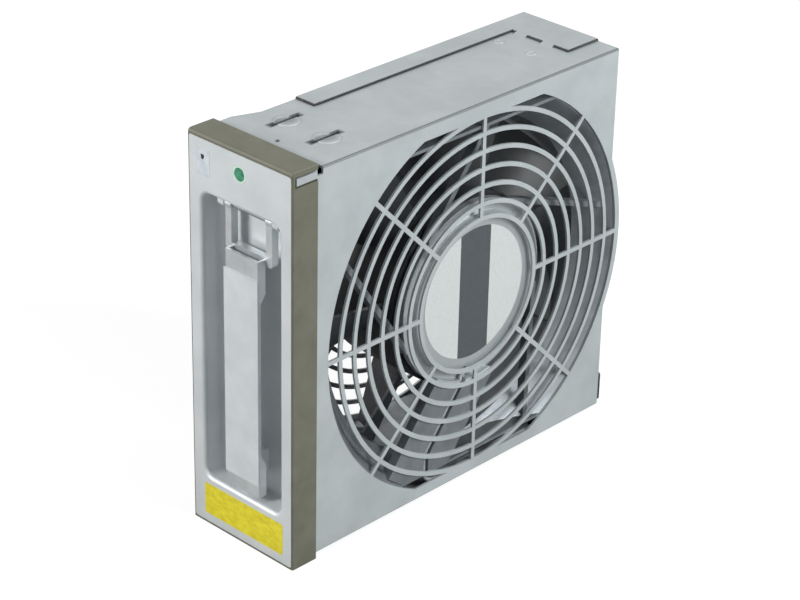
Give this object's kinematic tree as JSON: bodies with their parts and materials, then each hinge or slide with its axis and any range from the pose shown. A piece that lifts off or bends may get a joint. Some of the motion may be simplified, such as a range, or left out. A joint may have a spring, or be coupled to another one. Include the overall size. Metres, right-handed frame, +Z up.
{
  "type": "server cooling fan module",
  "caption": "Slide-in fan module: folded sheet case, punched ring grille, axial fan with external-rotor motor, fold-out front handle and status lamp.",
  "frame": {"origin": "under the middle of the module's bounding box, level with the bottom of the bezel", "axes": "+X out of the ring grille, -Y out of the front bezel, +Z up"},
  "size_m": [0.0582, 0.1939, 0.1737],
  "materials": {
    "plated_steel_sheet": "satin zinc-plated sheet",
    "plated_fasteners": "bright plated",
    "bezel_plastic": "fine-grained dark taupe plastic",
    "panel_silver": "silver-grey moulded panel, low sheen",
    "handle_steel": "satin steel",
    "grip_plastic": "grey plastic",
    "pad_rubber": "soft rubber",
    "lamp_ring_plastic": "pale green translucent plastic",
    "lens_green": "dark green lens",
    "diode_clear": "clear lamp body",
    "circuit_board": "green solder mask",
    "chip_black": "moulded black packages",
    "lead_jacket": "black cable jacket",
    "fan_casting": "as-cast light grey aluminium",
    "bearing_steel": "polished bearing steel",
    "spring_steel": "spring steel",
    "core_steel": "stacked laminations",
    "insulator_white": "white moulded insulator",
    "winding_copper": "enamelled copper wire",
    "magnet_dark": "bonded ferrite",
    "impeller_plastic": "dark glass-filled plastic",
    "connector_black": "black moulded housing",
    "contact_gold": "plated contacts"
  },
  "bodies": {
    "module": {"grille_shell": "plated_steel_sheet", "intake_shell": "plated_steel_sheet", "shell_rivets": "plated_fasteners", "bezel_frame": "bezel_plastic", "bezel_screws": "plated_fasteners", "front_panel": "panel_silver", "handle_rest_pad": "pad_rubber", "handle_pin": "plated_fasteners", "lamp_ring": "lamp_ring_plastic", "lamp_lens": "lens_green", "lamp_diode": "diode_clear", "lamp_board": "circuit_board", "lamp_lead": "lead_jacket", "fan_frame": "fan_casting", "fan_screws": "plated_fasteners", "bearing_outlet": "bearing_steel", "bearing_intake": "bearing_steel", "bearing_spacer": "bearing_steel", "bearing_spring": "spring_steel", "stator_core": "core_steel", "stator_insulator": "insulator_white", "stator_windings": "winding_copper", "drive_board": "circuit_board", "drive_board_parts": "chip_black", "drive_board_screws": "plated_fasteners", "rear_connector": "connector_black", "connector_contacts": "contact_gold", "connector_screws": "plated_fasteners", "fan_lead": "lead_jacket", "lead_clip": "connector_black"},
    "rotor": {"shaft": "bearing_steel", "rotor_cup": "core_steel", "magnet_ring": "magnet_dark", "impeller": "impeller_plastic", "retaining_clip": "spring_steel"},
    "handle": {"handle_loop": "handle_steel", "handle_strap": "handle_steel", "handle_grip": "grip_plastic"}
  },
  "joints": [
    {"name": "rotor_spin", "type": "hinge", "parent": "module", "child": "rotor", "pos_m": [0, 0.00835, 0.0862], "axis": [1, 0, 0], "continuous": true},
    {"name": "handle_swing", "type": "hinge", "parent": "module", "child": "handle", "pos_m": [0, -0.09075, 0.146], "axis": [-1, 0, 0], "range_deg": [0, 90]}
  ]
}
